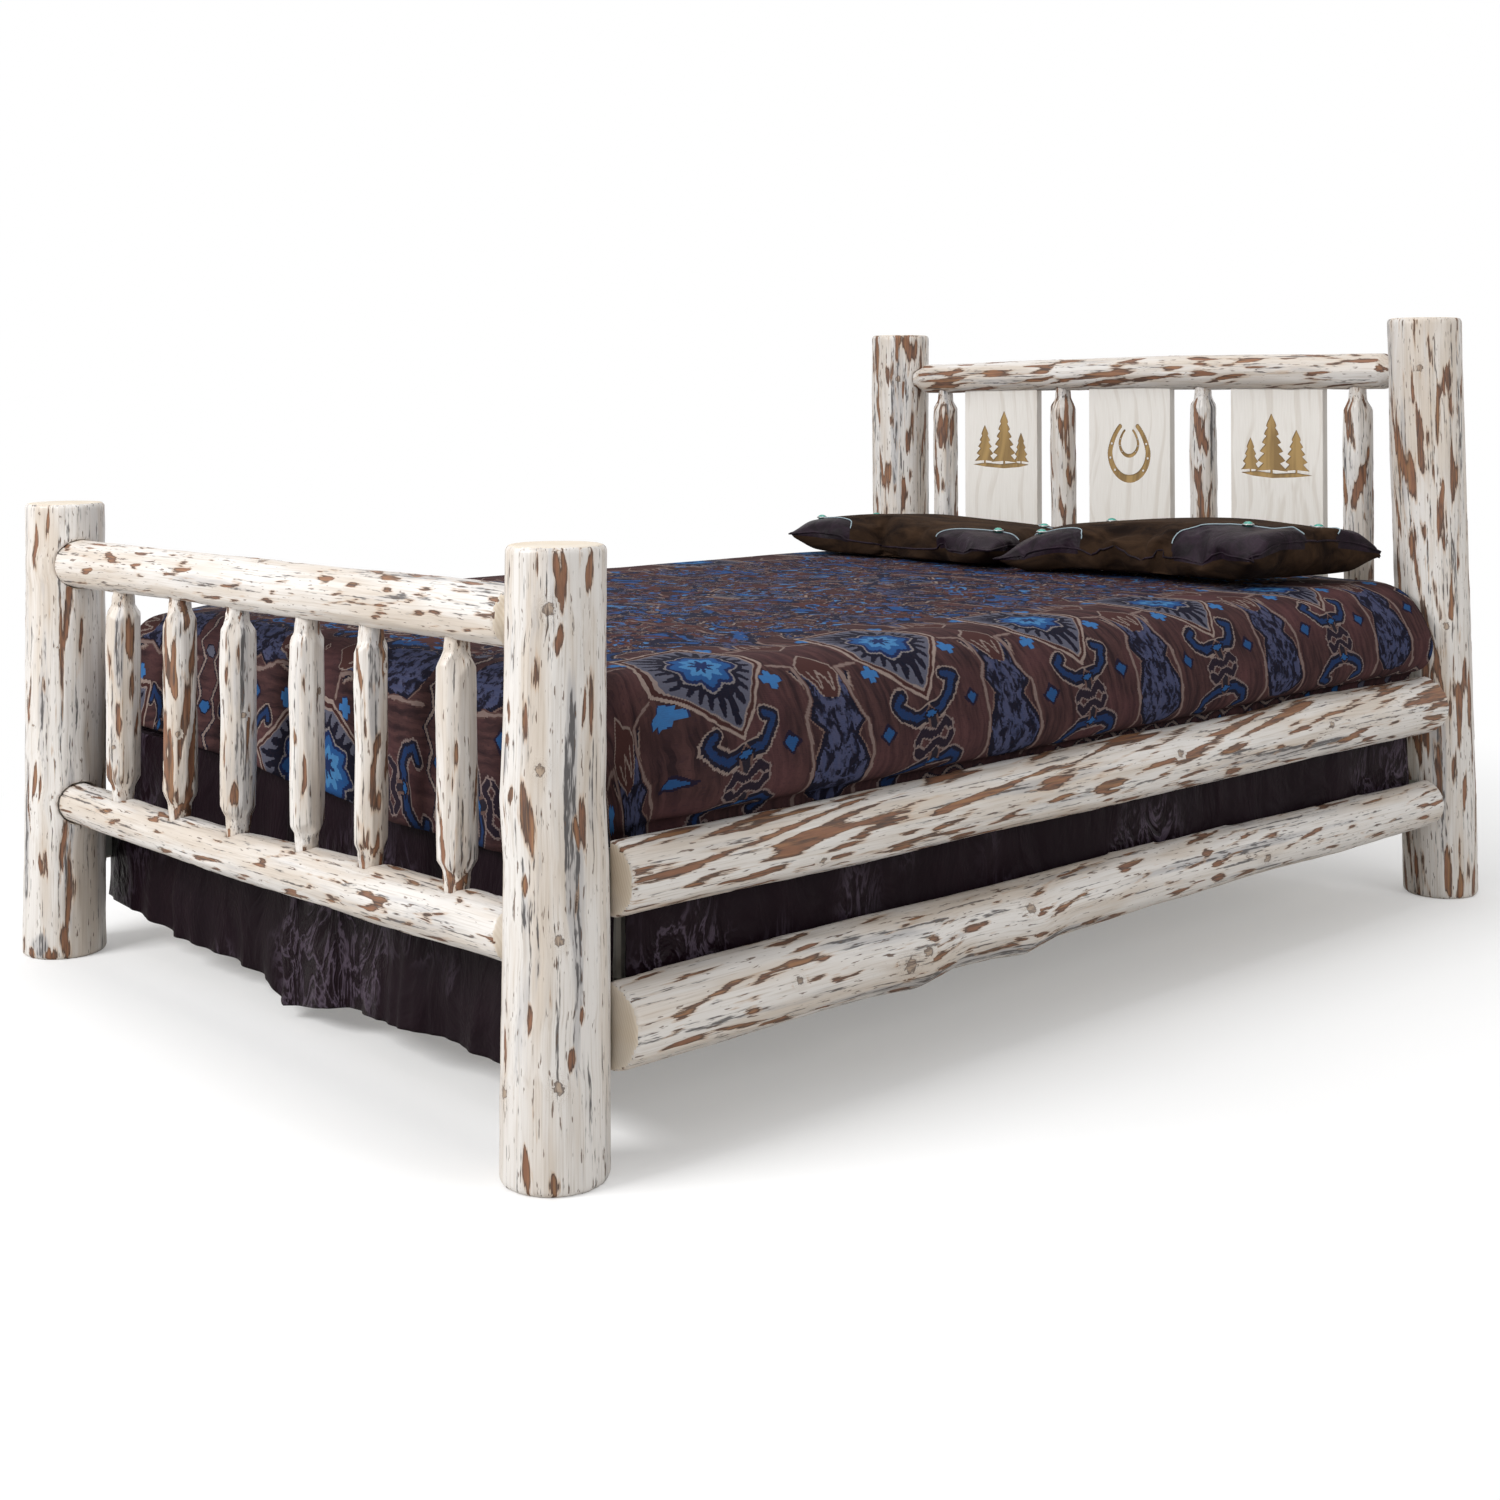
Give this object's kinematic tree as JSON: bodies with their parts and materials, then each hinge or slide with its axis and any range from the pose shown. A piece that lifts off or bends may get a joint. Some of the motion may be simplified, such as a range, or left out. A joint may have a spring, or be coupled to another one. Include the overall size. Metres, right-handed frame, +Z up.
{
  "type": "rustic log bed",
  "caption": "Queen-size bed of peeled pine logs: four posts, spindle footboard, panelled headboard, half-log side rails, box spring, mattress, skirt, bedspread and pillows.",
  "frame": {"origin": "on the floor, midway between the four posts", "axes": "+Z up, +Y from the footboard to the headboard, +X across the bed to the sleeper's left (the right-hand side seen from the foot)"},
  "size_m": [1.7074, 2.42, 1.194],
  "materials": {
    "peeled_pine": "peeled lodgepole pine with bark left in the hollows, clear lacquer",
    "pine_panel": "planed pine board with an engraved figure",
    "sawn_pine": "sawn pine, unfinished",
    "zinc_steel": "zinc-plated steel",
    "ticking": "woven mattress ticking",
    "bedspread_cloth": "woven tapestry cloth in rust, navy, blue and cream",
    "skirt_cloth": "dark aubergine leather cloth, soft sheen",
    "pillow_suede": "dark brown suede with a smooth leather yoke"
  },
  "bodies": {
    "bed": {"box_spring": "ticking", "centre_beam": "sawn_pine", "centre_leg_1": "sawn_pine", "centre_leg_2": "sawn_pine", "centre_leg_3": "sawn_pine", "foot_post_left": "peeled_pine", "foot_post_right": "peeled_pine", "footboard_bottom_rail": "peeled_pine", "footboard_spindle_1": "peeled_pine", "footboard_spindle_2": "peeled_pine", "footboard_spindle_3": "peeled_pine", "footboard_spindle_4": "peeled_pine", "footboard_spindle_5": "peeled_pine", "footboard_spindle_6": "peeled_pine", "footboard_top_rail": "peeled_pine", "head_post_left": "peeled_pine", "head_post_right": "peeled_pine", "headboard_bottom_rail": "peeled_pine", "headboard_panel_centre": "pine_panel", "headboard_panel_left": "pine_panel", "headboard_panel_right": "pine_panel", "headboard_spindle_1": "peeled_pine", "headboard_spindle_2": "peeled_pine", "headboard_spindle_3": "peeled_pine", "headboard_spindle_4": "peeled_pine", "headboard_top_rail": "peeled_pine", "ledger_left": "sawn_pine", "ledger_right": "sawn_pine", "ledger_screws": "zinc_steel", "leg_screws": "zinc_steel", "post_lag_screws": "zinc_steel", "rail_angle_foot_lower_left": "zinc_steel", "rail_angle_foot_lower_right": "zinc_steel", "rail_angle_foot_upper_left": "zinc_steel", "rail_angle_foot_upper_right": "zinc_steel", "rail_angle_head_lower_left": "zinc_steel", "rail_angle_head_lower_right": "zinc_steel", "rail_angle_head_upper_left": "zinc_steel", "rail_angle_head_upper_right": "zinc_steel", "rail_lag_screws": "zinc_steel", "side_rail_lower_left": "peeled_pine", "side_rail_lower_right": "peeled_pine", "side_rail_upper_left": "peeled_pine", "side_rail_upper_right": "peeled_pine", "skirt_deck": "skirt_cloth", "skirt_foot": "skirt_cloth", "skirt_left": "skirt_cloth", "skirt_right": "skirt_cloth", "slat_1": "sawn_pine", "slat_2": "sawn_pine", "slat_3": "sawn_pine", "slat_4": "sawn_pine", "slat_5": "sawn_pine", "slat_screws": "zinc_steel"},
    "mattress_set": {"mattress": "ticking", "bedspread": "bedspread_cloth"},
    "left_pillow": {"pillow_left": "pillow_suede"},
    "right_pillow": {"pillow_right": "pillow_suede"}
  },
  "joints": [
    {"name": "mattress_lift", "type": "slide", "parent": "bed", "child": "mattress_set", "axis": [0, 0, 1], "range_m": [0, 0.4]},
    {"name": "pillow_left_lift", "type": "slide", "parent": "mattress_set", "child": "left_pillow", "axis": [0, 0, 1], "range_m": [0, 0.3]},
    {"name": "pillow_right_lift", "type": "slide", "parent": "mattress_set", "child": "right_pillow", "axis": [0, 0, 1], "range_m": [0, 0.3]}
  ]
}
